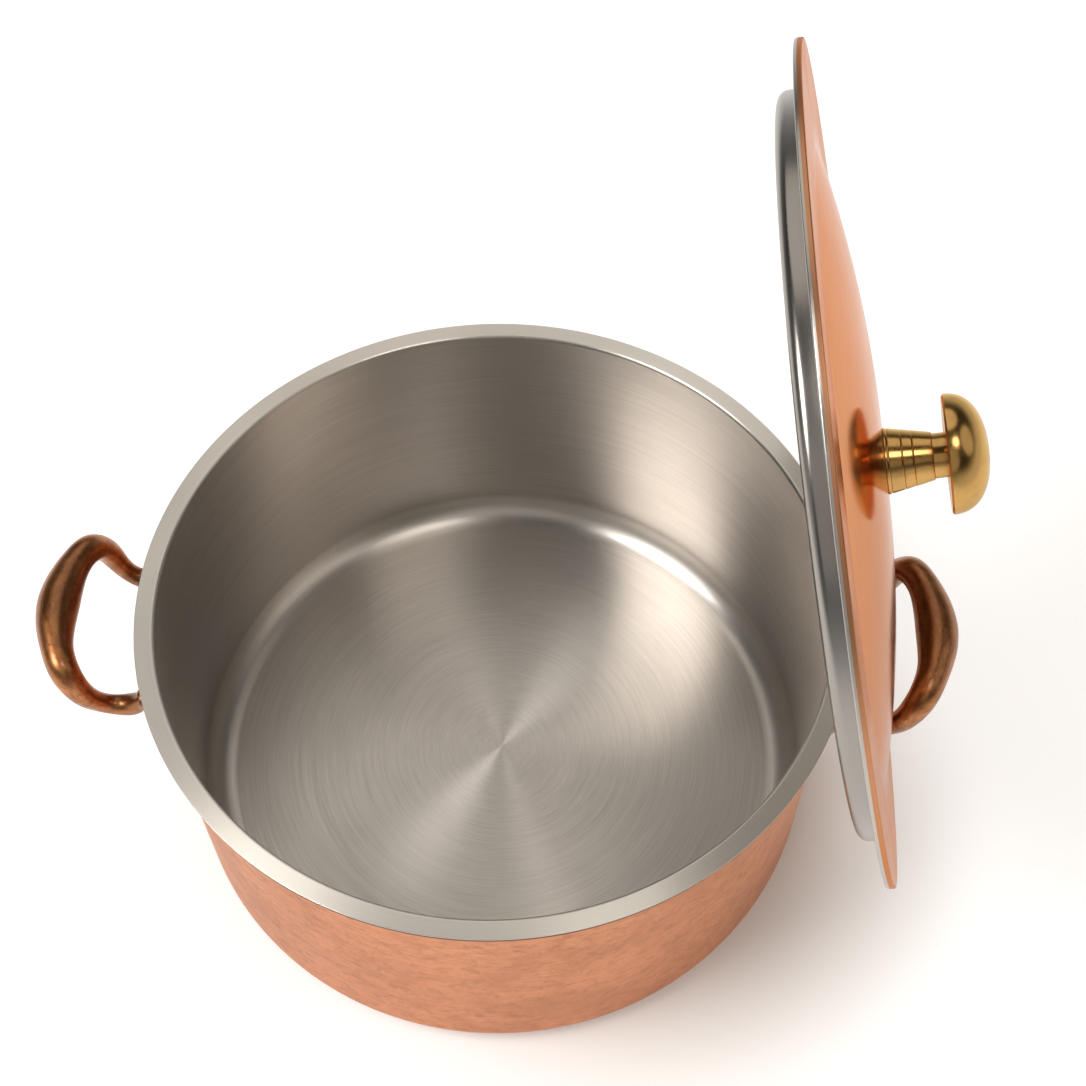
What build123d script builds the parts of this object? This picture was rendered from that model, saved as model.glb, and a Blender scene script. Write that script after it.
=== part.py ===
from build123d import *
import math
import os

# Copper casserole pot with a steel lining, two loop handles and a fitted lid with a brass knob.
# The origin is the centre of the base where it meets the table. The handles lie along X, +X to the right.
# The lid is off the pot: it stands on edge in the right handle and leans on the rim.

# Pot walls
BORE_R = 120.0            # inside radius of the straight wall, a 24 cm pot
POT_HEIGHT = 121.0        # table to the top of the lip
POT_COPPER = 2.0          # copper sheet of the pot
POT_STEEL = 0.5           # steel sheet inside the pot
FLOOR_FILLET = 11.0       # inside radius between floor and wall
LIP_REACH = 4.5           # how far the lip stands out past the outer wall
LIP_BEND = 1.2            # radius of the lining where wall turns into lip
LIP_ROOT = 0.4            # radius of the copper's corner under the lip
LIP_COPPER_SHORT = 0.3    # the copper ends this far inside the edge of the steel lip

# Handles
ARM_BELOW_LIP = 31.0      # centre of the arm where it meets the wall, under the top of the lip
ARM_SPACING = 57.0        # between the centres of the two arm roots
ARM_REACH = 21.0          # wall to the lowest point of the arm, where it turns up
ARM_DROP = 4.9            # how far that point lies under the root
CORNER_REACH = 28.0       # wall to the corner between arm and grip
CORNER_LIFT = 10.5        # corner above the root
CORNER_SPREAD = 0.5       # corners stand this much further out than the roots, each side
GRIP_REACH = 37.0         # wall to the middle of the grip
GRIP_LIFT = 16.0          # grip above the root
ARM_R = 3.8               # section radius of an arm
CORNER_R = 5.4            # section radius at a corner
GRIP_R = 7.6              # section radius in the middle of the grip
FOOT_R = 9.0              # radius of the brazed foot on the wall
FOOT_LENGTH = 6.0         # wall to where the foot has thinned to the arm
ARM_SHARE = 0.35          # the arm keeps its radius over this share of half the loop
CORNER_SHARE = 0.65       # and has the corner's radius here
HANDLE_SECTIONS = 8       # sections of each half of the loop

# Lid, in its own frame: flange underside at 0, knob towards +Z
LID_COPPER = 1.4
LID_STEEL = 1.0
LID_EDGE = 0.45           # rounding of the flange's edge
LID_OVERHANG = 0.0        # the flange ends flush with the pot's lip
FLANGE_WIDTH = 30.5       # flat flange, from its edge to where the dome starts
DOME_BEND = 4.0           # bend radius of the steel side there
DOME_TOP = 12.2           # flange underside to the top of the copper dome
KNOB_SEAT_R = 10.6        # flat under the knob
PLUG_CLEARANCE = 7.0      # between the plug ring and the pot's wall
PLUG_DEPTH = 6.9          # plug ring under the flange
PLUG_BAND = 1.0           # steel band that the plug ring is bent from
PLUG_ROLL_R = 3.1         # outside radius of its rolled edge
PLUG_RETURN = 1.5         # how far the band comes back up inside the roll

# Knob
STEM_BASE_R = 10.2
STEM_TOP_R = 7.4
STEM_CONE = 14.2          # length of the tapering part
NECK_R = 6.9
NECK_LENGTH = 3.9
STEM_GROOVE = 0.15        # depth and half width of the turned lines
STEM_GROOVE_AT = (1.2, 5.3, 8.5)
CAP_R = 18.4
CAP_HEIGHT = 12.6
CAP_FACE_EDGE = 0.6       # narrow straight edge round the cap's face
CAP_FACE_DISH = 1.0       # the face is turned hollow by this much
CAP_SIDE = 0.68           # how full the crown is at its side, as a share of its height
CAP_CROWN = 0.6           # and at its top, as a share of its radius
SCREW_R = 2.5
SCREW_HEAD_R = 4.6
SCREW_HEAD_HEIGHT = 2.8
SCREW_SLOT_WIDTH = 1.0
SCREW_SLOT_DEPTH = 1.2
WASHER_R = 8.0
WASHER_THICKNESS = 1.0
BORE_CLEARANCE = 0.05     # between the screw and the bores it is screwed into
HOLE_CLEARANCE = 0.3      # between the screw and the holes in the lid
TIP_CLEARANCE = 0.6       # round the screw's end, in the recess at the top of the cap
TIP_RECESS_DEPTH = 1.6

# How the lid stands in the right handle, its edge in the dips of the two arms
LID_LEAN = 13.6           # degrees that the lid leans back towards the pot
LID_ASIDE = -6.5          # centre of the lid off the handle's middle
LID_BEFORE_DIP = 0.9      # from the foot of its copper face to where the arms turn up
PARK_GAP = 0.5            # between the lid and what it leans and stands on
PARK_TRIES = 4            # turns at finding the height and the reach that agree
ARM_STEPS = 200           # points of the handle's centre line that the lid is tried on

WALL_R = BORE_R + POT_STEEL + POT_COPPER
FLOOR_TOP = POT_COPPER + POT_STEEL
LIP_R = WALL_R + LIP_REACH
ARM_ROOT_HEIGHT = POT_HEIGHT - ARM_BELOW_LIP
FLANGE_R = LIP_R + LID_OVERHANG
DOME_R = FLANGE_R - FLANGE_WIDTH
PLUG_R = BORE_R - PLUG_CLEARANCE
LID_SHEET = LID_COPPER + LID_STEEL
STEM_HEIGHT = STEM_CONE + NECK_LENGTH


def turned(outline):
    """Solid of revolution about Z of a closed outline, drawn as radius and height."""
    return revolve(Plane.XZ * make_face(outline), Axis.Z, 360)


# Pot
def pot_skin(offset, bend, lip_r):
    """Line of one face of the pot's sheet, an offset outside the lining's face, floor middle to lip edge."""
    floor = FLOOR_TOP - offset
    fillet_r = FLOOR_FILLET + offset
    top = POT_HEIGHT - offset
    floor_line = Line((0, floor), (BORE_R - FLOOR_FILLET, floor))
    turn = JernArc(floor_line @ 1, (1, 0), fillet_r, 90)
    wall = Line(turn @ 1, (BORE_R + offset, top - bend))
    lip_turn = JernArc(wall @ 1, (0, 1), bend, -90)
    lip = Line(lip_turn @ 1, (lip_r, top))
    return [floor_line, turn, wall, lip_turn, lip]


def between(inner, outer):
    """Sheet between two faces drawn with pot_skin."""
    ends = [Line(inner[-1] @ 1, outer[-1] @ 1), Line(inner[0] @ 0, outer[0] @ 0)]
    return turned(inner + outer + ends)


joint_bend = LIP_BEND - POT_STEEL
copper_lip_r = LIP_R - LIP_COPPER_SHORT
steel_lining = between(pot_skin(0, LIP_BEND, LIP_R), pot_skin(POT_STEEL, joint_bend, LIP_R))
copper_shell = between(
    pot_skin(POT_STEEL, joint_bend, copper_lip_r), pot_skin(POT_STEEL + POT_COPPER, LIP_ROOT, copper_lip_r))


# Handles
def handle_path():
    """Centre line of the right handle, from the near arm's root to the far one's."""
    half = [
        Vector(WALL_R, -ARM_SPACING / 2, ARM_ROOT_HEIGHT),
        Vector(WALL_R + ARM_REACH, -ARM_SPACING / 2, ARM_ROOT_HEIGHT - ARM_DROP),
        Vector(WALL_R + CORNER_REACH, -ARM_SPACING / 2 - CORNER_SPREAD, ARM_ROOT_HEIGHT + CORNER_LIFT),
    ]
    middle = Vector(WALL_R + GRIP_REACH, 0, ARM_ROOT_HEIGHT + GRIP_LIFT)
    other = [Vector(point.X, -point.Y, point.Z) for point in reversed(half)]
    return Spline(*half, middle, *other)


def handle_section_r(share):
    """Section radius at a share of the way from a root (0) to the middle of the grip (1)."""
    stops = [(0.0, ARM_R), (ARM_SHARE, ARM_R), (CORNER_SHARE, CORNER_R), (1.0, GRIP_R)]
    for (start, r0), (end, r1) in zip(stops, stops[1:]):
        if share <= end:
            ease = (share - start) / (end - start)
            return r0 + (r1 - r0) * ease * ease * (3 - 2 * ease)


def right_handle():
    path = handle_path()
    count = 2 * HANDLE_SECTIONS
    sections = []
    for i in range(count + 1):
        along = i / count
        share = 1 - abs(2 * along - 1)
        plane = Plane(origin=path @ along, z_dir=path % along)
        sections.append(plane * Circle(handle_section_r(share)))
    handle = loft(sections)
    for side in (-1, 1):
        root = Vector(WALL_R, side * ARM_SPACING / 2, ARM_ROOT_HEIGHT)
        handle += foot(root)
    return handle - Cylinder(WALL_R, POT_HEIGHT, align=(Align.CENTER, Align.CENTER, Align.MIN))


def foot(root):
    """Flared foot of an arm, drawn from inside the wall, which trims it, to where the arm begins."""
    outline = [
        Line((0, -FOOT_R), (FOOT_R, -FOOT_R)),
        Line((FOOT_R, -FOOT_R), (FOOT_R, 0)),
        Spline((FOOT_R, 0), (ARM_R, FOOT_LENGTH), tangents=[(-1, 0.15), (0, 1)]),
        Line((ARM_R, FOOT_LENGTH), (0, FOOT_LENGTH)),
        Line((0, FOOT_LENGTH), (0, -FOOT_R)),
    ]
    facing = Plane(origin=root, z_dir=(root.X, root.Y, 0))
    return facing * turned(outline)


handle = right_handle()
left_handle = Rot(0, 0, 180) * handle


# Lid
def lid_skin(offset):
    """Line of one face of the lid's sheet, an offset above the steel underside, flange edge to middle."""
    rise = DOME_TOP - LID_SHEET
    span = DOME_R - KNOB_SEAT_R
    slope = 2 * math.atan2(rise, span)
    bend_r = DOME_BEND - offset
    dome_r = span / math.sin(slope) - bend_r
    flange = Line((FLANGE_R, offset), (DOME_R, offset))
    bend = JernArc(flange @ 1, (-1, 0), bend_r, -math.degrees(slope))
    dome = JernArc(bend @ 1, bend % 1, dome_r, math.degrees(slope))
    seat = Line(dome @ 1, (0, rise + offset))
    return [flange, bend, dome, seat]


def lid_sheet(inner_offset, outer_offset):
    inner = lid_skin(inner_offset)
    outer = lid_skin(outer_offset)
    ends = [Line(inner[0] @ 0, outer[0] @ 0), Line(inner[-1] @ 1, outer[-1] @ 1)]
    return turned(inner + outer + ends) - Cylinder(SCREW_R + HOLE_CLEARANCE, 4 * DOME_TOP)


def rounded_rim(sheet, edge_height):
    """Sheet with the flange's outer edge at a height rounded off."""
    rings = sheet.edges().filter_by(GeomType.CIRCLE)
    rings = rings.filter_by(lambda edge: math.isclose(edge.center().Z, edge_height, abs_tol=LID_EDGE / 2))
    return fillet(rings.sort_by(lambda edge: edge.radius)[-1], LID_EDGE)


def plug_band():
    """Band that hangs under the flange and rolls inwards at its lower edge."""
    roll_z = PLUG_ROLL_R - PLUG_DEPTH
    outer = Line((PLUG_R, 0), (PLUG_R, roll_z))
    outer_roll = JernArc(outer @ 1, (0, -1), PLUG_ROLL_R, -180)
    outer_return = Line(outer_roll @ 1, outer_roll @ 1 + Vector(0, PLUG_RETURN))
    inner = Line((PLUG_R - PLUG_BAND, 0), (PLUG_R - PLUG_BAND, roll_z))
    inner_roll = JernArc(inner @ 1, (0, -1), PLUG_ROLL_R - PLUG_BAND, -180)
    inner_return = Line(inner_roll @ 1, inner_roll @ 1 + Vector(0, PLUG_RETURN))
    ends = [Line(outer @ 0, inner @ 0), Line(outer_return @ 1, inner_return @ 1)]
    return turned([outer, outer_roll, outer_return, inner, inner_roll, inner_return] + ends)


lid_lining = rounded_rim(lid_sheet(0, LID_STEEL), 0)
lid_cover = rounded_rim(lid_sheet(LID_STEEL, LID_SHEET), LID_SHEET)


# Knob
def knob_stem():
    outline = Polyline((0, 0), (STEM_BASE_R, 0), (STEM_TOP_R, STEM_CONE), (NECK_R, STEM_CONE),
                       (NECK_R, STEM_HEIGHT), (0, STEM_HEIGHT), close=True)
    stem = turned(outline)
    for height in STEM_GROOVE_AT:
        radius = STEM_BASE_R + (STEM_TOP_R - STEM_BASE_R) * height / STEM_CONE
        line = Polyline((radius - STEM_GROOVE, height), (radius + STEM_GROOVE, height - 2 * STEM_GROOVE),
                        (radius + STEM_GROOVE, height + 2 * STEM_GROOVE), close=True)
        stem -= turned(line)
    return stem - screw_bore()


def knob_cap():
    side = (CAP_R, CAP_SIDE * CAP_HEIGHT)
    top = (CAP_CROWN * CAP_R, CAP_HEIGHT)
    crown = Bezier((CAP_R, CAP_FACE_EDGE), side, top, (0, CAP_HEIGHT))
    edge_inner = CAP_R - 2 * CAP_FACE_EDGE
    outline = [
        crown,
        Line((CAP_R, CAP_FACE_EDGE), (CAP_R - CAP_FACE_EDGE, 0)),
        Line((CAP_R - CAP_FACE_EDGE, 0), (edge_inner, 0)),
        Line((edge_inner, 0), (NECK_R, CAP_FACE_DISH)),
        Line((NECK_R, CAP_FACE_DISH), (NECK_R, 0)),
        Line((NECK_R, 0), (0, 0)),
        Line((0, 0), (0, CAP_HEIGHT)),
    ]
    recess = Pos(0, 0, CAP_HEIGHT) * Cylinder(SCREW_R + TIP_CLEARANCE, 2 * TIP_RECESS_DEPTH)
    return turned(outline) - screw_bore() - recess


def screw_bore():
    return Cylinder(SCREW_R + BORE_CLEARANCE, 4 * (STEM_HEIGHT + CAP_HEIGHT))


def knob_washer():
    disc = Cylinder(WASHER_R, WASHER_THICKNESS, align=(Align.CENTER, Align.CENTER, Align.MAX))
    return disc - Cylinder(SCREW_R + HOLE_CLEARANCE, 4 * WASHER_THICKNESS)


def knob_screw(length):
    """Screw with its head's seat at 0, head below, shank above."""
    head = Cylinder(SCREW_HEAD_R, SCREW_HEAD_HEIGHT, align=(Align.CENTER, Align.CENTER, Align.MAX))
    head = fillet(head.edges().group_by(Axis.Z)[0], SCREW_HEAD_HEIGHT / 2)
    slot = Pos(0, 0, -SCREW_HEAD_HEIGHT) * Box(3 * SCREW_HEAD_R, SCREW_SLOT_WIDTH, 2 * SCREW_SLOT_DEPTH)
    shank = Cylinder(SCREW_R, length, align=(Align.CENTER, Align.CENTER, Align.MIN))
    return head - slot + shank


stem_at = DOME_TOP
cap_at = stem_at + STEM_HEIGHT
washer_at = DOME_TOP - LID_SHEET
screw_at = washer_at - WASHER_THICKNESS
screw_length = cap_at + CAP_HEIGHT - TIP_RECESS_DEPTH - screw_at

# Lid parked in the right handle
lean = Rot(0, 90 - LID_LEAN, 0)


def lid_outline_points():
    """Points round the lower half of the leaning lid's flange and plug ring, from the lid's centre."""
    rings = [
        (FLANGE_R, 0),
        (FLANGE_R, LID_SHEET),
        (PLUG_R, PLUG_ROLL_R - PLUG_DEPTH),
        (PLUG_R - PLUG_ROLL_R, -PLUG_DEPTH),
    ]
    points = []
    for radius, depth in rings:
        for degrees in range(-90, 91):
            angle = math.radians(degrees)
            local = Pos(radius * math.cos(angle), radius * math.sin(angle), depth)
            points.append((lean * local).position + Vector(0, LID_ASIDE, 0))
    return points


def height_over_arms(outline, arms, lid_x):
    """Lowest height of the lid's centre that keeps its outline above the arms."""
    near = ARM_R + PARK_GAP
    heights = []
    for point in outline:
        for arm in arms:
            off_axis = (point.X + lid_x - arm.X) ** 2 + (point.Y - arm.Y) ** 2
            if off_axis < near ** 2:
                heights.append(arm.Z + math.sqrt(near ** 2 - off_axis) - point.Z)
    return max(heights)


def reach_past_pot(outline, lid_z):
    """Least distance of the lid's centre along X that keeps its outline clear of wall and lip."""
    reaches = []
    for point in outline:
        height = point.Z + lid_z
        beside_lip = height > POT_HEIGHT - POT_STEEL - POT_COPPER - PARK_GAP
        limit = (LIP_R if beside_lip else WALL_R) + PARK_GAP
        if height < POT_HEIGHT + PARK_GAP and abs(point.Y) < limit:
            reaches.append(math.sqrt(limit ** 2 - point.Y ** 2) - point.X)
    return max(reaches)


lid_outline = lid_outline_points()
loop = handle_path()
arm_points = [loop @ (i / ARM_STEPS) for i in range(ARM_STEPS + 1)]
face_foot = (lean * Pos(FLANGE_R, 0, LID_SHEET)).position
lid_x = WALL_R + ARM_REACH - LID_BEFORE_DIP - face_foot.X
for _ in range(PARK_TRIES):
    lid_z = height_over_arms(lid_outline, arm_points, lid_x)
    lid_x = max(lid_x, reach_past_pot(lid_outline, lid_z))
parked = Pos(lid_x, LID_ASIDE, lid_z) * lean
print("centre of the parked lid:", round(lid_x, 2), LID_ASIDE, round(lid_z, 2))

parts = {
    "copper_shell": copper_shell,
    "steel_lining": steel_lining,
    "left_handle": left_handle,
    "right_handle": handle,
    "lid_cover": parked * lid_cover,
    "lid_lining": parked * lid_lining,
    "plug_ring": parked * plug_band(),
    "knob_stem": parked * Pos(0, 0, stem_at) * knob_stem(),
    "knob_cap": parked * Pos(0, 0, cap_at) * knob_cap(),
    "knob_washer": parked * Pos(0, 0, washer_at) * knob_washer(),
    "knob_screw": parked * Pos(0, 0, screw_at) * knob_screw(screw_length),
}

os.makedirs("parts", exist_ok=True)
for node, shape in parts.items():
    export_step(shape, f"parts/{node}.step")
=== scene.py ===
# Looks of a copper casserole pot: smooth metal skins, their finishes, a pale studio floor and the camera.
import math

import bmesh
import bpy
from mathutils import Matrix, Vector, geometry, noise


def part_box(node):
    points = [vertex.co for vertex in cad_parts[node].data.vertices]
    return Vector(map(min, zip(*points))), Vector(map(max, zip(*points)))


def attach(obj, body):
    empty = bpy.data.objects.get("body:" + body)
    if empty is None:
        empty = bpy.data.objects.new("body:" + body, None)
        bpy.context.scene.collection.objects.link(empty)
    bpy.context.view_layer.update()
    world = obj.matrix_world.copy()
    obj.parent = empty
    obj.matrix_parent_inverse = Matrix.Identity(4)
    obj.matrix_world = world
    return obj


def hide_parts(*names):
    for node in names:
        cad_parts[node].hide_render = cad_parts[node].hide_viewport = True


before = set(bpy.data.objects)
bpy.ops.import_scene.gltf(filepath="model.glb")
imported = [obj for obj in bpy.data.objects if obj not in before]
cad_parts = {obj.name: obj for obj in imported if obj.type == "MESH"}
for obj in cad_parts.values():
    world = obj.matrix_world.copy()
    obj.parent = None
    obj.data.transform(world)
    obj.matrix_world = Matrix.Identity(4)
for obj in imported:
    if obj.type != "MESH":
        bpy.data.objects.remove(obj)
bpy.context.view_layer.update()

bl_info = {
    "name": "Copper Casserole",
    "version": (1, 0, 0),
    "blender": (4, 5, 0),
    "location": "View3D > Sidebar > Casserole",
    "description": "Makes the pieces, finishes and studio of a copper casserole with its lid in one handle",
    "category": "Object",
}

MM = 0.001
LARGE_TURN = 256          # steps of a full turn for the pot and the lid
SMALL_TURN = 128          # and for the knob
ARC_STEP = math.radians(5)
ARC_LENGTH = 3 * MM       # no step of an arc is wider or longer than these
SUPPORT = 0.4 * MM        # a long straight line gets a point this near each end, so that it shades flat
MERGE = 1e-7              # points nearer to each other than this are merged
SEAM_MERGE = 1e-6         # and points at the seams of a part's faces
LIP_SHY = 0.01 * MM       # the lip is drawn this much smaller than its box
FLANGE_SHY = 0.03 * MM    # and the lid's flange this much smaller than its own
SHARP = 40                # edges of turned pieces bent by more degrees than this stay sharp
CAST_SHARP = 80           # and those of a casting


# Sizes and colours that a user would change

def length(name, description, default):
    return bpy.props.FloatProperty(
        name=name, description=description, default=default, unit="LENGTH", min=0.0)


def degrees(name, description, default):
    return bpy.props.FloatProperty(
        name=name, description=description, default=math.radians(default), subtype="ANGLE", unit="ROTATION")


def colour(name, description, default):
    return bpy.props.FloatVectorProperty(
        name=name, description=description, default=default, subtype="COLOR", size=3, min=0.0, max=1.0)


def power(name, description, default):
    return bpy.props.FloatProperty(
        name=name, description=description, default=default, unit="POWER", min=0.0)


def level(name, description, default):
    return bpy.props.FloatProperty(name=name, description=description, default=default)


class CasserolePotSizes(bpy.types.PropertyGroup):
    lip_radius: length("Lip radius", "Outer edge of the lip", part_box("steel_lining")[1].y - LIP_SHY)
    height: length("Height", "Table to the top of the lip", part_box("steel_lining")[1].z)
    bore: length("Bore radius", "Inside of the straight wall", 120 * MM)
    copper: length("Copper", "Thickness of the copper sheet", 2 * MM)
    steel: length("Steel", "Thickness of the steel sheet", 0.5 * MM)
    floor_fillet: length("Floor fillet", "Inside radius between floor and wall", 11 * MM)
    lip_bend: length("Lip bend", "Radius of the lining where wall turns into lip", 1.2 * MM)
    lip_root: length("Lip root", "Radius of the copper's corner under the lip", 0.4 * MM)
    copper_short: length("Copper short", "The copper ends this far inside the steel lip", 0.3 * MM)
    lip_edge: length("Lip edge", "Rounding of the sheet's outer edge", 0.15 * MM)


class CasseroleHandleSizes(bpy.types.PropertyGroup):
    grain: length("Grain", "Size of the cells that the casting is smoothed on", 0.6 * MM)
    passes: bpy.props.IntProperty(name="Passes", description="How often it is smoothed", default=12, min=0)
    lump: length("Lump", "Height of the casting's unevenness", 0.07 * MM)
    lump_size: length("Lump size", "Distance between two lumps", 7 * MM)


class CasseroleLidSizes(bpy.types.PropertyGroup):
    lean: degrees("Lean", "How far the lid leans back towards the pot", 13.6)
    copper: length("Copper", "Thickness of the copper sheet", 1.4 * MM)
    steel: length("Steel", "Thickness of the steel sheet", 1.0 * MM)
    edge: length("Edge", "Rounding of the flange's edge", 0.45 * MM)
    flange_width: length("Flange", "From the flange's edge to where the dome starts", 30.5 * MM)
    dome_bend: length("Dome bend", "Bend radius of the steel side where the dome starts", 4 * MM)
    dome_top: length("Dome top", "Flange underside to the top of the dome", 12.2 * MM)
    knob_seat: length("Knob seat", "Radius of the flat under the knob", 10.6 * MM)
    hole: length("Hole", "Radius of the screw hole", 2.8 * MM)
    plug_clearance: length("Plug clearance", "Between the plug ring and the pot's wall", 7 * MM)
    plug_depth: length("Plug depth", "Height of the plug ring under the flange", 6.9 * MM)
    plug_band: length("Plug band", "Thickness of the plug ring", 1 * MM)
    plug_roll: length("Plug roll", "Outside radius of the plug ring's rolled edge", 3.1 * MM)
    plug_return: length("Plug return", "How far the band comes back up inside the roll", 1.5 * MM)
    washer: length("Washer", "Thickness of the washer under the lid", 1 * MM)


class CasseroleKnobSizes(bpy.types.PropertyGroup):
    stem_base: length("Stem base", "Radius of the stem on the lid", 10.2 * MM)
    stem_top: length("Stem top", "Radius of the stem's narrow end", 7.4 * MM)
    cone: length("Cone", "Length of the tapering part", 14.2 * MM)
    neck: length("Neck", "Radius of the neck", 6.9 * MM)
    neck_length: length("Neck length", "Length of the neck", 3.9 * MM)
    groove: length("Groove", "Depth and half width of the turned lines", 0.15 * MM)
    cap: length("Cap", "Radius of the cap", 18.4 * MM)
    cap_height: length("Cap height", "Face of the cap to its top", 12.6 * MM)
    face_edge: length("Face edge", "Narrow straight edge round the cap's face", 0.6 * MM)
    face_dish: length("Face dish", "How far the cap's face is turned hollow", 1 * MM)
    screw: length("Screw", "Radius of the screw's end in the cap", 2.5 * MM)
    recess: length("Recess", "Radius of the recess round the screw's end", 3.1 * MM)
    recess_depth: length("Recess depth", "Depth of the recess round the screw's end", 1.6 * MM)


class CasseroleFinishes(bpy.types.PropertyGroup):
    copper: colour("Copper", "Satin copper of the pot", (0.79, 0.35, 0.175))
    lid_copper: colour("Lid copper", "Polished copper of the lid", (0.82, 0.45, 0.27))
    tarnish: colour("Tarnish", "Darker patches on the copper", (0.50, 0.20, 0.09))
    steel: colour("Steel", "Brushed lining", (0.65, 0.605, 0.56))
    bronze: colour("Bronze", "Rubbed bronze of the handles", (0.62, 0.26, 0.09))
    patina: colour("Patina", "Brown patina of the handles", (0.28, 0.10, 0.034))
    brass: colour("Brass", "Turned brass of the knob", (0.71, 0.41, 0.12))


class CasseroleStage(bpy.types.PropertyGroup):
    eye: bpy.props.FloatVectorProperty(
        name="Eye", description="Where the camera stands", unit="LENGTH",
        default=(0.02967, -0.30966, 0.62109))
    tilt: degrees("Tilt", "Camera's turn up from straight down", 33.63)
    roll: degrees("Roll", "Camera's roll", 0.18)
    heading: degrees("Heading", "Camera's turn to the left", 1.97)
    lens: bpy.props.FloatProperty(
        name="Lens", description="Focal length of the camera", default=54.9, unit="CAMERA")
    floor: colour("Floor", "Pale floor", (0.82, 0.81, 0.80))
    # painted light: a warm floor colour round the pot, standing in for the copper's bounce light in its shadow
    shade: colour("Shade", "Floor where it is in the pot's shade", (0.86, 0.77, 0.69))
    floor_glow: level("Floor glow", "What the floor adds so that it is white outside the shadow", 0.39)
    key: power("Key", "Power of the main lamp, high on the left", 12.2)
    left: power("Left", "Power of the low lamp on the left", 0.8)
    back: power("Back", "Power of the lamp behind", 3.8)
    right: power("Right", "Power of the lamp on the right", 1.9)
    front: power("Front", "Power of the lamp on the camera's side", 1.4)
    overhead: power("Overhead", "Power of the small lamp overhead", 2.4)
    dome: level("Dome", "Soft light from all round", 0.47)
    horizon: level("Horizon", "What reflections find low down", 0.65)
    ceiling: level("Ceiling", "What reflections find overhead", 0.03)


# Outlines, as lists of (radius, height)

def arc(centre, radius, start, end):
    """Points of an arc, from one angle to another, both in degrees from the outward direction."""
    start, end = math.radians(start), math.radians(end)
    turn = abs(end - start)
    steps = max(3, math.ceil(turn / ARC_STEP), math.ceil(turn * radius / ARC_LENGTH))
    angles = [start + (end - start) * i / steps for i in range(steps + 1)]
    return [(centre[0] + radius * math.cos(a), centre[1] + radius * math.sin(a)) for a in angles]


def supported(outline, closed):
    """The outline with a point near each end of its long straight lines."""
    points = [Vector(point) for point in outline]
    ends = points[1:] + points[:1] if closed else points[1:]
    result = []
    for a, b in zip(points, ends):
        result.append(a)
        along = b - a
        if along.length > 4 * SUPPORT:
            step = along.normalized() * SUPPORT
            result += [a + step, b - step]
    if not closed:
        result.append(points[-1])
    return result


def turned(name, outline, steps):
    """Outline turned once about Z. If it starts and ends on the axis it stays open there, else it is closed."""
    on_axis = outline[0][0] == 0 and outline[-1][0] == 0
    bm = bmesh.new()
    verts = [bm.verts.new((point[0], 0, point[1])) for point in supported(outline, not on_axis)]
    pairs = zip(verts, verts[1:] + ([] if on_axis else verts[:1]))
    edges = [bm.edges.new(pair) for pair in pairs]
    bmesh.ops.spin(
        bm, geom=verts + edges, cent=(0, 0, 0), axis=(0, 0, 1), angle=math.tau, steps=steps, use_merge=True)
    return finished(name, bm)


def finished(name, bm, sharp=SHARP):
    """A smooth-shaded object from a bmesh, its doubles merged and its faces turned outwards."""
    bmesh.ops.remove_doubles(bm, verts=bm.verts, dist=MERGE)
    bmesh.ops.dissolve_degenerate(bm, edges=bm.edges, dist=MERGE / 10)
    bmesh.ops.recalc_face_normals(bm, faces=bm.faces)
    mesh = bpy.data.meshes.new(name)
    bm.to_mesh(mesh)
    bm.free()
    mesh.shade_smooth()
    mesh.set_sharp_from_angle(angle=math.radians(sharp))
    piece = bpy.data.objects.new(name, mesh)
    bpy.context.scene.collection.objects.link(piece)
    return piece


def keep_local(piece):
    """Stores where each vertex is in the piece's own frame, for patterns that follow the piece."""
    mesh = piece.data
    local = mesh.attributes.new("local", "FLOAT_VECTOR", "POINT")
    for vertex, value in zip(mesh.vertices, local.data):
        value.vector = vertex.co


def lid_matrix(sizes):
    """Place of the lid's own frame: flange underside at 0, knob towards +Z."""
    lean = Matrix.Rotation(math.radians(90) - sizes.lean, 4, "Y")
    low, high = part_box("knob_washer")
    washer_at = sizes.dome_top - sizes.copper - sizes.steel - sizes.washer / 2
    centre = (low + high) / 2 - lean @ Vector((0, 0, washer_at))
    return Matrix.Translation(centre) @ lean


def put_on_lid(piece, sizes):
    """Moves a piece from the lid's own frame to where the lid stands."""
    keep_local(piece)
    piece.data.transform(lid_matrix(sizes))


def seat(piece, body, node, finish):
    """Gives a piece its finish and its body, and hides the node that it stands for."""
    piece.data.materials.append(finish.material)
    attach(piece, body)
    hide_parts(node)


# Finishes

PAINTED_SEAM_SHADE = (0.03, 0.015, 0.01)            # painted shade: copper darkened in the corner under the steel lip, where the lip's shadow falls
SEAM_BAND = (2.3 * MM, 1.9 * MM)            # that painted shade fades in between these depths under the seam
RIM_BAND = (0.9 * MM, 0.4 * MM)             # tarnish of the lid's rim fades in this far inside its edge
FLANGE_BAND = (-3 * MM, 9 * MM)             # and the flange's duller polish this far outside the dome's edge
PAINTED_HIGHLIGHT_STEEL = (0.90, 0.85, 0.78)             # painted highlight: steel colour made brighter where the lip's bend and the fillet catch the light
LIP_BAND = (0.5 * MM, 0.1 * MM)             # it fades in between these depths under the top of the lip
FILLET_BAND = (3.5 * MM, 7 * MM)            # and again between these heights at the fillet
FILLET_BAND_END = (10 * MM, 14 * MM)        # and out between these
PAINTED_LOOP_SHADE_BAND = (26 * MM, 37 * MM)              # painted shade fades out from the inside of a handle's loop to its outside
STREAK_RADIUS = 12 * MM                     # as if the loop were this small, which draws its streaks out


def dimmed(colour, share):
    return [channel * share for channel in colour]


def radius_of(x, y):
    return (x * x + y * y) ** 0.5


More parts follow.
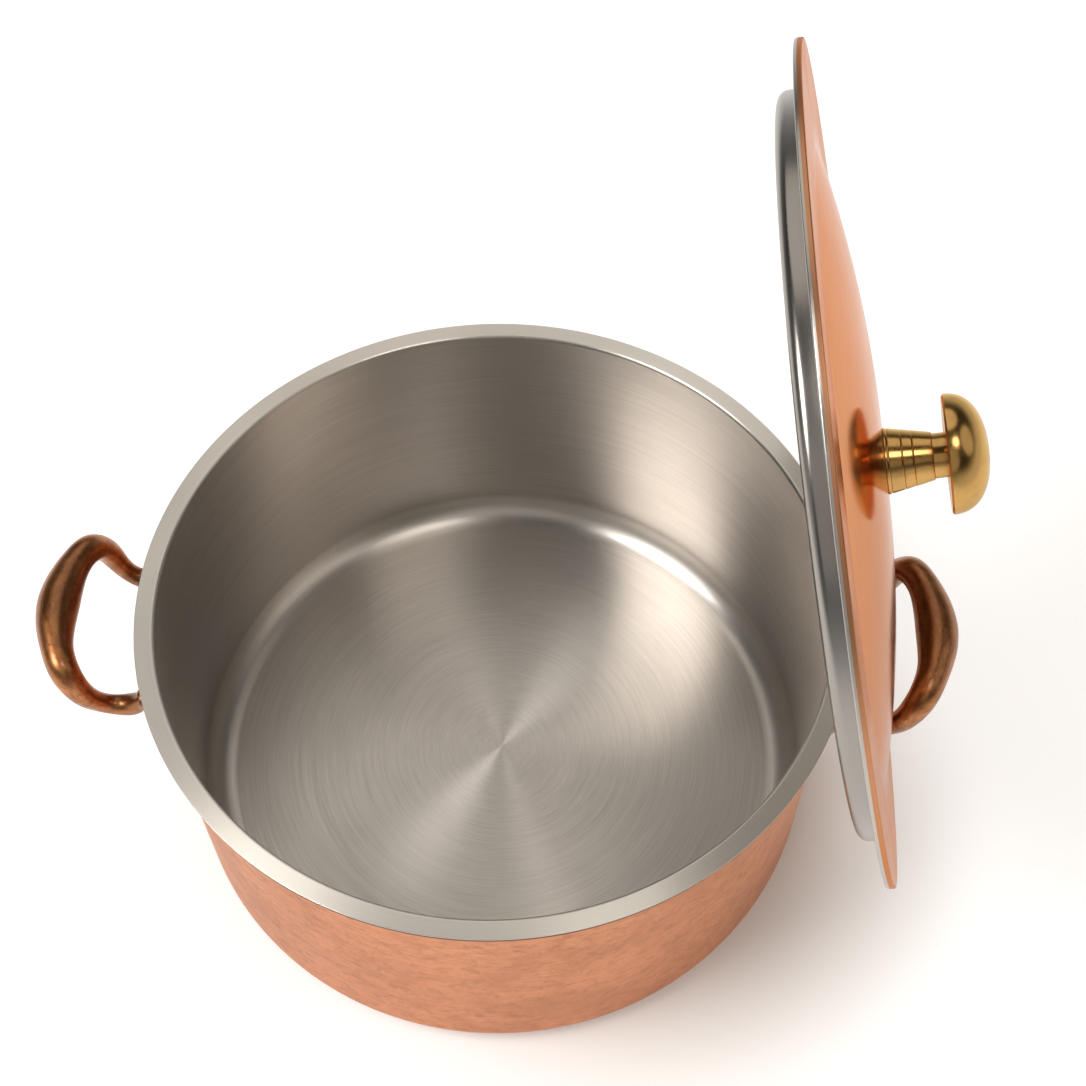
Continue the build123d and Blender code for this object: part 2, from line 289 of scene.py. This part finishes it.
class Wire:
    """A value on its way through a tree of nodes. Arithmetic on it adds Math nodes."""

    def __init__(self, nodes, socket):
        self.nodes = nodes
        self.socket = socket

    def maths(self, operation, *values):
        return self.nodes.node("ShaderNodeMath", {"operation": operation}, dict(enumerate(values)))

    def beside(self, output):
        """Another output of the node that this one comes from."""
        return Wire(self.nodes, self.socket.node.outputs[output])

    def __add__(self, other):
        return self.maths("ADD", self, other)

    def __sub__(self, other):
        return self.maths("SUBTRACT", self, other)

    def __rsub__(self, other):
        return self.maths("SUBTRACT", other, self)

    def __mul__(self, other):
        return self.maths("MULTIPLY", self, other)

    def __truediv__(self, other):
        return self.maths("DIVIDE", self, other)

    def __pow__(self, other):
        return self.maths("POWER", self, other)

    __radd__ = __add__
    __rmul__ = __mul__

    def band(self, low, high):
        """0 at low and 1 at high, smooth between."""
        inputs = {"Value": self, "From Min": low, "From Max": high}
        return self.nodes.node("ShaderNodeMapRange", {"interpolation_type": "SMOOTHSTEP"}, inputs)


class Nodes:
    """A tree of nodes being made. One method adds any node."""

    def __init__(self, tree):
        self.tree = tree
        tree.nodes.clear()

    def end(self, kind, surface):
        self.tree.links.new(surface, self.tree.nodes.new(kind).inputs["Surface"])

    def feed(self, socket, value):
        """Links a wire to a socket, or sets a plain value there. A colour may come without its alpha."""
        if isinstance(value, Wire):
            self.tree.links.new(value.socket, socket)
        elif socket.type == "RGBA":
            socket.default_value = (*value, 1.0)[:4]
        else:
            socket.default_value = value

    def node(self, kind, settings=None, inputs=None, output=0):
        node = self.tree.nodes.new(kind)
        for key, value in (settings or {}).items():
            setattr(node, key, value)
        for key, value in (inputs or {}).items():
            self.feed(node.inputs[key], value)
        return Wire(self, node.outputs[output])

    def split(self, vector):
        x = self.node("ShaderNodeSeparateXYZ", inputs={0: vector})
        return x, x.beside("Y"), x.beside("Z")

    def mix(self, a, b, factor):
        """Colour a turning into b. A Mix node's colours are its inputs 6 and 7 and its output 2."""
        settings = {"data_type": "RGBA", "clamp_factor": True}
        return self.node("ShaderNodeMix", settings, {0: factor, 6: a, 7: b}, output=2)


class Finish(Nodes):
    """A material being made."""

    def __init__(self, name, metallic=1.0, **constants):
        self.material = bpy.data.materials.new(name)
        self.material.use_nodes = True
        super().__init__(self.material.node_tree)
        self.shader = self.tree.nodes.new("ShaderNodeBsdfPrincipled")
        self.end("ShaderNodeOutputMaterial", self.shader.outputs[0])
        self.set("Metallic", metallic)
        for key, value in constants.items():
            self.set(key.replace("_", " ").title(), value)

    def set(self, socket, value):
        self.feed(self.shader.inputs[socket], value)

    def place(self):
        return self.node("ShaderNodeTexCoord", output="Object")

    def local(self):
        return self.node("ShaderNodeAttribute", {"attribute_name": "local"}, output="Vector")

    def vector(self, x, y, z):
        return self.node("ShaderNodeCombineXYZ", inputs={0: x, 1: y, 2: z})

    def scaled(self, vector, scale):
        return self.node("ShaderNodeVectorMath", {"operation": "MULTIPLY"}, {0: vector, 1: scale})

    def noise(self, vector, scale=1.0, detail=3.0, roughness=0.5, distortion=0.0):
        inputs = {"Vector": vector, "Scale": scale, "Detail": detail}
        inputs |= {"Roughness": roughness, "Distortion": distortion}
        return self.node("ShaderNodeTexNoise", inputs=inputs)

    def rings(self, where, around, along):
        """Noise coordinates drawn out round the axis: lines of a lathe or of a brushing wheel."""
        x, y, z = self.split(where)
        radius = radius_of(x, y) + 1e-6     # never 0, because it divides
        return self.vector(x / radius * around, y / radius * around, (radius + z) * along)

    def bump(self, height, distance, strength=1.0, normal=None):
        inputs = {"Height": height, "Distance": distance, "Strength": strength}
        if normal:
            inputs["Normal"] = normal
        return self.node("ShaderNodeBump", inputs=inputs)


def satin_copper(colours, seam):
    """Copper that has been cooked with and wiped: smudges, darker patches and fine lines round the pot, with
    painted shade in the corner under the steel lip.
    """
    finish = Finish("satin_copper", anisotropic=0.3, coat_weight=0.4, coat_roughness=0.3)
    where = finish.place()
    patches = finish.noise(where, scale=22, detail=6, roughness=0.65, distortion=0.5).band(0.40, 0.68)
    blots = finish.noise(
        finish.scaled(where, (1.0, 1.0, 1.6)), scale=170, detail=7, roughness=0.8, distortion=0.3)
    smudges = blots.band(0.42, 0.64)
    lines = finish.noise(finish.rings(where, around=3, along=1200), detail=3, roughness=0.75)
    dashes = finish.noise(finish.rings(where, around=16, along=260), detail=6, roughness=0.85, distortion=0.5)
    scratches = dashes.band(0.60, 0.66)
    flecks = finish.noise(
        finish.scaled(where, (1.0, 1.0, 1.3)), scale=420, detail=5, roughness=0.8).band(0.62, 0.70)
    trace = finish.noise(finish.rings(where, around=5, along=90), detail=4, roughness=0.6, distortion=1.2) - 0.5
    hairs = (1.0 - trace.maths("ABSOLUTE", trace).band(0.008, 0.03)) * smudges
    base = finish.mix(colours.copper, colours.tarnish, patches * 0.55)
    base = finish.mix(base, colours.tarnish, smudges * 0.5)
    base = finish.mix(base, colours.tarnish, lines.band(0.42, 0.62) * 0.3)
    marks = scratches * 0.5 + flecks * 0.4 + hairs * 0.4
    base = finish.mix(base, dimmed(colours.tarnish, 0.6), marks)
    height = finish.split(where)[2]
    # painted shade: the copper's edge under the steel lip is darkened where the lip shades it
    shade = height.band(seam - SEAM_BAND[0], seam - SEAM_BAND[1])
    finish.set("Base Color", finish.mix(base, PAINTED_SEAM_SHADE, shade * 0.9))
    finish.set("Roughness", 0.38 + patches * 0.06 + smudges * 0.08 + lines * 0.06)
    waves = finish.noise(where, scale=30, detail=2)
    rough = finish.bump(lines * 0.4 - scratches * 0.8, distance=0.03 * MM, strength=0.7)
    finish.set("Normal", finish.bump(waves, distance=0.5 * MM, strength=0.25, normal=rough))
    finish.set("Specular Tint", (1.0, 0.78, 0.66))
    return finish


def polished_copper(colours, dome, rim):
    """The lid's copper, under a faint haze and the polishing wheel's lines: nearly a mirror inside the radius
    of the dome, duller outside it on the flange, and tarnished at the radius of the rim."""
    finish = Finish("polished_copper")
    where = finish.local()
    haze = finish.noise(where, scale=25, detail=4, roughness=0.6, distortion=0.5).band(0.4, 0.7)
    lines = finish.noise(finish.rings(where, around=6, along=700), detail=3, roughness=0.7)
    dashes = finish.noise(finish.rings(where, around=1.5, along=1500), detail=3, roughness=0.7)
    scratches = dashes.band(0.60, 0.69)
    base = finish.mix(colours.lid_copper, colours.copper, haze * 0.3)
    base = finish.mix(base, colours.tarnish, scratches * 0.25 + lines.band(0.4, 0.8) * 0.15)
    x, y = finish.split(where)[:2]
    radius = radius_of(x, y)
    on_flange = radius.band(dome + FLANGE_BAND[0], dome + FLANGE_BAND[1])
    at_rim = radius.band(rim - RIM_BAND[0], rim - RIM_BAND[1])
    finish.set("Base Color", finish.mix(base, colours.tarnish, at_rim * 0.6))
    finish.set("Roughness", 0.085 + haze * 0.05 + lines * 0.05 + on_flange * 0.11 + at_rim * 0.1)
    finish.set("Normal", finish.bump(lines, distance=0.002 * MM, strength=0.4))
    finish.set("Specular Tint", (0.90, 0.61, 0.46))
    return finish


def brushed_steel(colours, name, where_of, roughness, lip):
    """Stainless steel brushed in rings round the axis of the frame that where_of gives. It has a painted
    highlight, its colour made brighter, just under the lip's height and in the floor's fillet, and at the
    fillet's height inside the lid."""
    finish = Finish(name, anisotropic=0.86, anisotropic_rotation=0.25)
    where = where_of(finish)
    fine = finish.noise(finish.rings(where, around=3, along=3000), detail=2, roughness=0.6)
    strokes = finish.noise(finish.rings(where, around=1, along=900), detail=3, roughness=0.75).band(0.36, 0.68)
    cloud = finish.noise(where, scale=18, detail=3).band(0.35, 0.7)
    streaks = fine.band(0.3, 0.7) * 0.32 + strokes * 0.18
    base = finish.mix(colours.steel, dimmed(colours.steel, 0.66), streaks)
    height = finish.split(where)[2]
    # painted highlight: brighter colour at the lip's bend and in the fillet, where those curves catch the light
    painted_lip_highlight = height.band(lip - LIP_BAND[0], lip - LIP_BAND[1]) * 0.8
    painted_fillet_highlight = height.band(*FILLET_BAND) * (1.0 - height.band(*FILLET_BAND_END)) * 0.55
    finish.set("Base Color", finish.mix(base, PAINTED_HIGHLIGHT_STEEL, painted_lip_highlight + painted_fillet_highlight))
    finish.set("Roughness", roughness + fine * 0.05 + strokes * 0.03 + cloud * 0.04)
    finish.set("Normal", finish.bump(fine, distance=0.002 * MM, strength=0.4))
    return finish


def polished_steel(colours):
    """The plug ring, smoother than the brushed steel, with its colour dimmed as painted shade for the dark
    surroundings that it reflects.
    """
    finish = Finish("polished_steel")
    where = finish.local()
    lines = finish.noise(finish.rings(where, around=5, along=900), detail=2, roughness=0.6)
    # painted shade: the steel's colour dimmed to stand in for the dark surroundings that the ring reflects
    finish.set("Base Color", dimmed(colours.steel, 0.62))
    finish.set("Roughness", 0.20 + lines * 0.08)
    return finish


def cast_bronze(colours, middle):
    """Brown patina over cast bronze, rubbed brighter in patches, with streaks along the grip and painted shade
    inside each handle's loop. middle is the distance from the pot's axis to the point that each handle's loop
    goes round."""
    finish = Finish("cast_bronze", coat_weight=0.55, coat_roughness=0.16)
    where = finish.place()
    x, y, z = finish.split(where)
    out = x.maths("ABSOLUTE", x) - middle
    bearing = out.maths("ARCTAN2", y, out)
    reach = radius_of(out, y)
    along = finish.vector(bearing * STREAK_RADIUS, reach, z)
    streaks = finish.noise(along, scale=300, detail=5, roughness=0.65, distortion=0.4)
    rubbed = finish.noise(where, scale=60, detail=4, roughness=0.6, distortion=0.5).band(0.40, 0.68)
    specks = finish.noise(where, scale=420, detail=4, roughness=0.7).band(0.62, 0.72)
    nicks = finish.noise(along, scale=600, detail=4, roughness=0.7, distortion=0.3).band(0.63, 0.71)
    # painted shade: darker on the inside of each handle's loop, where shade falls
    inner = 1.0 - reach.band(*PAINTED_LOOP_SHADE_BAND)
    darker = dimmed(colours.patina, 0.45)
    base = finish.mix(colours.patina, colours.bronze, streaks.band(0.30, 0.70) * 0.75 + rubbed * 0.25)
    base = finish.mix(base, darker, inner * 0.6)
    base = finish.mix(base, dimmed(colours.bronze, 1.6), nicks * 0.5)
    finish.set("Base Color", finish.mix(base, darker, specks * 0.7))
    finish.set("Roughness", 0.32 + streaks * 0.14 + specks * 0.2)
    grain = finish.noise(where, scale=900, detail=3, roughness=0.6)
    rough = finish.bump(grain * 0.6 - specks * 0.8 + nicks * 0.4, distance=0.04 * MM, strength=0.3)
    finish.set("Normal", finish.bump(streaks, distance=0.10 * MM, strength=0.3, normal=rough))
    return finish


def turned_brass(colours):
    """Lacquered brass with the lathe's lines, a haze and short marks."""
    finish = Finish("turned_brass", coat_weight=0.5, coat_roughness=0.1)
    where = finish.local()
    lines = finish.noise(finish.rings(where, around=3, along=1500), detail=2, roughness=0.7)
    haze = finish.noise(where, scale=120, detail=4, roughness=0.6, distortion=0.5).band(0.4, 0.7)
    dashes = finish.noise(finish.rings(where, around=40, along=900), detail=3, roughness=0.7, distortion=0.4)
    marks = dashes.band(0.66, 0.72)
    worn = haze * 0.35 + lines * 0.25 + marks * 0.6
    finish.set("Base Color", finish.mix(colours.brass, dimmed(colours.brass, 0.6), worn))
    finish.set("Roughness", 0.16 + haze * 0.06 + lines * 0.06)
    finish.set("Normal", finish.bump(lines - marks, distance=0.010 * MM, strength=0.5))
    finish.set("Specular Tint", (1.0, 0.85, 0.5))
    return finish


def plain_steel(colours):
    """Washer and screw under the lid."""
    finish = Finish("plain_steel")
    where = finish.place()
    haze = finish.noise(where, scale=300, detail=4, roughness=0.6)
    finish.set("Base Color", finish.mix(colours.steel, dimmed(colours.steel, 0.7), haze.band(0.35, 0.7)))
    finish.set("Roughness", 0.25 + haze * 0.2)
    return finish


# Pieces of the pot

def pot_face(sizes, offset, bend, lip_radius):
    """One face of the pot's sheets, from the floor's middle to the lip's edge, an offset outside the lining."""
    floor = sizes.copper + sizes.steel - offset
    top = sizes.height - offset
    fillet_centre = (sizes.bore - sizes.floor_fillet, floor + sizes.floor_fillet + offset)
    points = [(0, floor)]
    points += arc(fillet_centre, sizes.floor_fillet + offset, -90, 0)
    points += arc((sizes.bore + offset + bend, top - bend), bend, 180, 90)
    return points + [(lip_radius, top)]


def pot_skin(name, sizes, inner, outer, lip_radius):
    """A sheet of the pot between two faces, each given as its offset and its bend under the lip."""
    faces = [pot_face(sizes, offset, bend, lip_radius) for offset, bend in (inner, outer)]
    top, bottom = faces[0].pop()[1], faces[1].pop()[1]
    edge = sizes.lip_edge
    rim = arc((lip_radius - edge, top - edge), edge, 90, 0)
    rim += arc((lip_radius - edge, bottom + edge), edge, 0, -90)
    return turned(name, faces[0] + rim + faces[1][::-1], LARGE_TURN)


class CASSEROLE_OT_copper_shell(bpy.types.Operator):
    """Make the copper outside of the pot"""

    bl_idname = "casserole.copper_shell"
    bl_label = "Copper shell"

    def execute(self, context):
        sizes = context.scene.casserole_pot
        inner = (sizes.steel, sizes.lip_bend - sizes.steel)
        outer = (sizes.steel + sizes.copper, sizes.lip_root)
        piece = pot_skin("pot_copper", sizes, inner, outer, sizes.lip_radius - sizes.copper_short)
        finish = satin_copper(context.scene.casserole_finishes, seam=sizes.height - sizes.steel)
        seat(piece, "pot", "copper_shell", finish)
        return {"FINISHED"}


class CASSEROLE_OT_steel_lining(bpy.types.Operator):
    """Make the brushed steel inside of the pot"""

    bl_idname = "casserole.steel_lining"
    bl_label = "Steel lining"

    def execute(self, context):
        sizes = context.scene.casserole_pot
        outer = (sizes.steel, sizes.lip_bend - sizes.steel)
        piece = pot_skin("pot_lining", sizes, (0.0, sizes.lip_bend), outer, sizes.lip_radius)
        finish = brushed_steel(
            context.scene.casserole_finishes, "brushed_steel", Finish.place, roughness=0.26, lip=sizes.height)
        seat(piece, "pot", "steel_lining", finish)
        return {"FINISHED"}


class CASSEROLE_OT_handles(bpy.types.Operator):
    """Make the two cast handles"""

    bl_idname = "casserole.handles"
    bl_label = "Handles"

    def execute(self, context):
        sizes = context.scene.casserole_handles
        finish = cast_bronze(context.scene.casserole_finishes, context.scene.casserole_pot.lip_radius)
        for side in ("left", "right"):
            piece = casting(f"{side}_grip", f"{side}_handle", sizes)
            seat(piece, "pot", f"{side}_handle", finish)
        return {"FINISHED"}


def casting(name, node, sizes):
    """The node's own shape with its seams run together and its surface slightly uneven, as cast."""
    source = bpy.data.objects.new(name + "_source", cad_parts[node].data.copy())
    bpy.context.scene.collection.objects.link(source)
    bm = bmesh.new()
    bm.from_mesh(source.data)
    bmesh.ops.remove_doubles(bm, verts=bm.verts, dist=SEAM_MERGE)
    bm.to_mesh(source.data)
    bm.free()
    remesh = source.modifiers.new("Cells", "REMESH")
    remesh.mode = "VOXEL"
    remesh.voxel_size = sizes.grain
    smooth = source.modifiers.new("Smooth", "SMOOTH")
    smooth.factor = 0.5
    smooth.iterations = sizes.passes
    graph = bpy.context.evaluated_depsgraph_get()
    bm = bmesh.new()
    bm.from_mesh(source.evaluated_get(graph).data)
    bpy.data.objects.remove(source)
    for vertex in bm.verts:
        lump = noise.noise(vertex.co / sizes.lump_size)
        vertex.co += vertex.normal * lump * sizes.lump
    return finished(name, bm, CAST_SHARP)


# Pieces of the lid

def lid_face(lid, flange_radius, offset):
    """One face of the lid's sheets, from the dome's foot to the hole, an offset above the steel underside."""
    dome_radius = flange_radius - lid.flange_width
    rise = lid.dome_top - lid.copper - lid.steel
    span = dome_radius - lid.knob_seat
    slope = 2 * math.atan2(rise, span)
    bend = lid.dome_bend - offset
    crown = span / math.sin(slope) - bend
    turn = math.degrees(slope)
    points = arc((dome_radius, offset + bend), bend, -90, -90 - turn)
    points += arc((lid.knob_seat, rise + offset - crown), crown, 90 - turn, 90)[1:]
    return points + [(lid.hole, rise + offset)]


def lid_skin(name, lid, flange_radius, low, high, rounded_top):
    """One sheet of the lid, between two offsets, with the free corner of its flange rounded."""
    top = lid_face(lid, flange_radius, high)
    bottom = lid_face(lid, flange_radius, low)
    edge = lid.edge
    if rounded_top:
        rim = [(flange_radius, low)] + arc((flange_radius - edge, high - edge), edge, 0, 90)
    else:
        rim = arc((flange_radius - edge, low + edge), edge, -90, 0) + [(flange_radius, high)]
    return turned(name, bottom[::-1] + rim + top, LARGE_TURN)


class CASSEROLE_OT_lid_sheets(bpy.types.Operator):
    """Make the lid's copper outside and its steel inside"""

    bl_idname = "casserole.lid_sheets"
    bl_label = "Lid sheets"

    def execute(self, context):
        lid = context.scene.casserole_lid
        low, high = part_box("lid_cover")
        flange_radius = (high.y - low.y) / 2 - FLANGE_SHY
        colours = context.scene.casserole_finishes
        cover = lid_skin(
            "lid_copper", lid, flange_radius, lid.steel, lid.steel + lid.copper, rounded_top=True)
        put_on_lid(cover, lid)
        copper = polished_copper(colours, dome=flange_radius - lid.flange_width, rim=flange_radius)
        seat(cover, "lid", "lid_cover", copper)
        lining = lid_skin("lid_steel", lid, flange_radius, 0.0, lid.steel, rounded_top=False)
        put_on_lid(lining, lid)
        steel = brushed_steel(colours, "lid_brushed_steel", Finish.local, roughness=0.22, lip=lid.dome_top)
        seat(lining, "lid", "lid_lining", steel)
        return {"FINISHED"}


class CASSEROLE_OT_plug_ring(bpy.types.Operator):
    """Make the steel ring under the lid, with its rolled edge"""

    bl_idname = "casserole.plug_ring"
    bl_label = "Plug ring"

    def execute(self, context):
        lid = context.scene.casserole_lid
        radius = context.scene.casserole_pot.bore - lid.plug_clearance
        roll_height = lid.plug_roll - lid.plug_depth
        centre = (radius - lid.plug_roll, roll_height)
        back = (radius - 2 * lid.plug_roll, roll_height + lid.plug_return)
        inner_roll = lid.plug_roll - lid.plug_band
        outline = [(radius, 0)] + arc(centre, lid.plug_roll, 0, -180) + [back]
        outline += [(back[0] + lid.plug_band, back[1])] + arc(centre, inner_roll, -180, 0)
        outline += [(radius - lid.plug_band, 0)]
        piece = turned("plug_band", outline, LARGE_TURN)
        put_on_lid(piece, lid)
        seat(piece, "lid", "plug_ring", polished_steel(context.scene.casserole_finishes))
        return {"FINISHED"}


GROOVES = (0.085, 0.373, 0.599)    # where the stem's turned lines are, as shares of the cone
STEM_EDGE = 0.3 * MM               # rounding of the stem's edges
STEM_EDGE_START = 10               # degrees, where the cone's side runs into its rounded top edge
CAP_SIDE = 0.68                    # how full the crown is at its side, as a share of its height
CAP_CROWN = 0.6                    # and at its top, as a share of its radius
CAP_POINTS = 40                    # points of the crown's outline


class CASSEROLE_OT_knob(bpy.types.Operator):
    """Make the turned brass knob"""

    bl_idname = "casserole.knob"
    bl_label = "Knob"

    def execute(self, context):
        lid, knob = context.scene.casserole_lid, context.scene.casserole_knob
        finish = turned_brass(context.scene.casserole_finishes)
        stem = turned("knob_cone", stem_outline(knob), SMALL_TURN)
        stem.data.transform(Matrix.Translation((0, 0, lid.dome_top)))
        cap = turned("knob_crown", cap_outline(knob), SMALL_TURN)
        cap.data.transform(Matrix.Translation((0, 0, lid.dome_top + knob.cone + knob.neck_length)))
        for piece, node in ((stem, "knob_stem"), (cap, "knob_cap")):
            put_on_lid(piece, lid)
            seat(piece, "lid", node, finish)
        return {"FINISHED"}


def stem_outline(knob):
    """The stem from the lid up its grooved cone and its neck to the cap."""
    edge = STEM_EDGE
    points = [(knob.screw, 0)] + arc((knob.stem_base - edge, edge), edge, -90, 0)
    for share in GROOVES:
        height = share * knob.cone
        radius = knob.stem_base + (knob.stem_top - knob.stem_base) * share
        bottom = (radius - knob.groove, height)
        points += [(radius, height - knob.groove), bottom, (radius, height + knob.groove)]
    points += arc((knob.stem_top - edge, knob.cone - edge), edge, STEM_EDGE_START, 90)
    points += [(knob.neck, knob.cone), (knob.neck, knob.cone + knob.neck_length)]
    return points + [(knob.screw, knob.cone + knob.neck_length)]


def cap_outline(knob):
    """The cap from its hollow face round the crown to the recess over the screw."""
    side = Vector((knob.cap, knob.face_edge, 0))
    side_pull = Vector((knob.cap, CAP_SIDE * knob.cap_height, 0))
    top_pull = Vector((CAP_CROWN * knob.cap, knob.cap_height, 0))
    top = Vector((0, knob.cap_height, 0))
    crown = [(p.x, p.y) for p in geometry.interpolate_bezier(side, side_pull, top_pull, top, CAP_POINTS)]
    crown = [point for point in crown if point[0] > knob.recess]
    face = [(knob.screw, 0), (knob.neck, 0), (knob.neck, knob.face_dish)]
    face += [(knob.cap - 2 * knob.face_edge, 0), (knob.cap - knob.face_edge, 0)]
    lip = crown[-1][1]
    bottom = lip - knob.recess_depth
    return face + crown + [(knob.recess, lip), (knob.recess, bottom), (knob.screw, bottom)]


class CASSEROLE_OT_fasteners(bpy.types.Operator):
    """Finish the washer and the screw under the lid"""

    bl_idname = "casserole.fasteners"
    bl_label = "Fasteners"

    def execute(self, context):
        finish = plain_steel(context.scene.casserole_finishes)
        for node in ("knob_washer", "knob_screw"):
            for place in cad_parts[node].material_slots:
                place.material = finish.material
        return {"FINISHED"}


# Stage

LAMP_AIM = Vector((0, 0, 80 * MM))
LAMP_DISTANCE = 1620 * MM
WARM = (1.0, 0.95, 0.88)
NEUTRAL = (1.0, 0.98, 0.95)
FLOOR_HALF = 6                              # metres from the floor's middle to its edge
HORIZON_TOP = 0.5                           # height of a direction where reflections find only the ceiling
HORIZON_LEFT = 0.25                         # share of the horizon's level that is left on its dark side
PAINTED_SHADOW_CENTRE = (57.6 * MM, -22.7 * MM)      # middle of the painted shadow on the floor
PAINTED_SHADOW_CORE = 50 * MM                        # the floor adds no glow nearer to it than this, a painted shadow
PAINTED_SHADOW_EDGE = 148.5 * MM                     # and all its glow from here on
REFLECTED_GLOW = 0.5                        # share of that glow that reflections see
FLOOR_FADE = (500 * MM, 2500 * MM)          # where lamps grow weak, and the floor turns white by itself


def lamp(name, watts, size, bearing, height, tint=WARM):
    """A round lamp of a size in metres, aimed at the pot from a bearing and a height in degrees."""
    data = bpy.data.lights.new(name, "AREA")
    data.shape = "DISK"
    data.energy = watts
    data.size = size
    data.color = tint
    light = bpy.data.objects.new(name, data)
    out = Matrix.Rotation(math.radians(bearing), 3, "Z") @ Matrix.Rotation(math.radians(-height), 3, "Y")
    light.location = LAMP_AIM + out @ Vector((LAMP_DISTANCE, 0, 0))
    light.rotation_euler = (LAMP_AIM - light.location).to_track_quat("-Z", "Y").to_euler()
    bpy.context.scene.collection.objects.link(light)


def pale_floor(stage):
    """Floor that keeps the shadow and reaches white outside it, for the camera and partly in reflections. Round
    the pot its glow is left out, a painted shadow, and its colour is a warm painted tint for the copper's
    bounce light.
    """
    finish = Finish("pale_floor", metallic=0.0, roughness=0.9)
    finish.set("Specular IOR Level", 0.0)
    x, y = finish.split(finish.place())[:2]
    reach = radius_of(x - PAINTED_SHADOW_CENTRE[0], y - PAINTED_SHADOW_CENTRE[1])
    outside_painted_shadow = reach.band(PAINTED_SHADOW_CORE, PAINTED_SHADOW_EDGE)
    # painted light: round the pot the floor takes the warm shade colour, standing in for the copper's bounce
    # light
    finish.set("Base Color", finish.mix(stage.shade, stage.floor, outside_painted_shadow))
    rays = finish.node("ShaderNodeLightPath", output="Is Camera Ray")
    seen = rays + rays.beside("Is Glossy Ray") * REFLECTED_GLOW
    # painted shadow: the floor's glow is left out round the pot, so the shadow there is darker than the lamps
    # make it
    near = finish.mix((0, 0, 0), dimmed((1.0, 0.99, 0.98), stage.floor_glow), outside_painted_shadow * seen)
    far = reach.band(*FLOOR_FADE)
    finish.set("Emission Color", finish.mix(near, (1, 1, 1), far * rays))
    finish.set("Emission Strength", 1.0)
    return finish


class CASSEROLE_OT_stage(bpy.types.Operator):
    """Make the floor, the lamps, the world and the camera"""

    bl_idname = "casserole.stage"
    bl_label = "Stage"

    def execute(self, context):
        scene = context.scene
        stage = scene.casserole_stage
        bm = bmesh.new()
        bmesh.ops.create_grid(bm, x_segments=1, y_segments=1, size=FLOOR_HALF)
        floor = finished("floor", bm)
        floor.data.materials.append(pale_floor(stage).material)
        lamp("key", stage.key, size=0.75, bearing=203, height=54, tint=NEUTRAL)
        lamp("left", stage.left, size=1.2, bearing=208, height=10)
        lamp("back", stage.back, size=1.4, bearing=98, height=58)
        lamp("right", stage.right, size=1.2, bearing=0, height=45)
        lamp("front", stage.front, size=1.2, bearing=270, height=45)
        lamp("overhead", stage.overhead, size=0.44, bearing=315, height=73)
        self.world(scene, stage)
        camera = bpy.data.objects.new("camera", bpy.data.cameras.new("camera"))
        camera.data.lens = stage.lens
        camera.data.dof.use_dof = False
        camera.location = stage.eye
        camera.rotation_euler = (stage.tilt, stage.roll, stage.heading)
        scene.collection.objects.link(camera)
        scene.camera = camera
        scene.view_settings.view_transform = "Standard"
        return {"FINISHED"}

    def world(self, scene, stage):
        """White for the camera, a horizon palest on the right in reflections, even soft light elsewhere."""
        world = bpy.data.worlds.new("studio")
        world.use_nodes = True
        world.cycles.sampling_method = "NONE"
        nodes = Nodes(world.node_tree)
        rays = nodes.node("ShaderNodeLightPath", output="Is Camera Ray")
        direction = nodes.node("ShaderNodeTexCoord", output="Generated")
        x, y, z = nodes.split(direction)
        to_right = HORIZON_LEFT + (1.0 - HORIZON_LEFT) * x.band(-0.5, 0.5)
        foot = (1.0 - z.band(0.0, HORIZON_TOP)) * to_right
        reflected = stage.ceiling + foot * (stage.horizon - stage.ceiling)
        strength = stage.dome + (reflected - stage.dome) * rays.beside("Is Glossy Ray")
        strength = strength + (1.0 - strength) * rays
        surface = nodes.node("ShaderNodeBackground", inputs={"Color": (1, 1, 1), "Strength": strength})
        nodes.end("ShaderNodeOutputWorld", surface.socket)
        scene.world = world


# Panel and registration

OPERATORS = (
    CASSEROLE_OT_copper_shell,
    CASSEROLE_OT_steel_lining,
    CASSEROLE_OT_handles,
    CASSEROLE_OT_lid_sheets,
    CASSEROLE_OT_plug_ring,
    CASSEROLE_OT_knob,
    CASSEROLE_OT_fasteners,
    CASSEROLE_OT_stage,
)

GROUPS = {
    "casserole_pot": CasserolePotSizes,
    "casserole_handles": CasseroleHandleSizes,
    "casserole_lid": CasseroleLidSizes,
    "casserole_knob": CasseroleKnobSizes,
    "casserole_finishes": CasseroleFinishes,
    "casserole_stage": CasseroleStage,
}


class CASSEROLE_PT_panel(bpy.types.Panel):
    """The casserole's sizes, colours and pieces"""

    bl_idname = "CASSEROLE_PT_panel"
    bl_label = "Copper Casserole"
    bl_space_type = "VIEW_3D"
    bl_region_type = "UI"
    bl_category = "Casserole"

    def draw(self, context):
        for name, group in GROUPS.items():
            box = self.layout.box()
            for key in group.__annotations__:
                box.prop(getattr(context.scene, name), key)
        for operator in OPERATORS:
            self.layout.operator(operator.bl_idname)


def register():
    for group in GROUPS.values():
        bpy.utils.register_class(group)
    for name, group in GROUPS.items():
        setattr(bpy.types.Scene, name, bpy.props.PointerProperty(type=group))
    for operator in OPERATORS:
        bpy.utils.register_class(operator)
    bpy.utils.register_class(CASSEROLE_PT_panel)


def unregister():
    bpy.utils.unregister_class(CASSEROLE_PT_panel)
    for operator in reversed(OPERATORS):
        bpy.utils.unregister_class(operator)
    for name, group in GROUPS.items():
        delattr(bpy.types.Scene, name)
        bpy.utils.unregister_class(group)


def main():
    register()
    for operator in OPERATORS:
        category, name = operator.bl_idname.split(".")
        getattr(getattr(bpy.ops, category), name)()


if __name__ == "__main__":
    main()
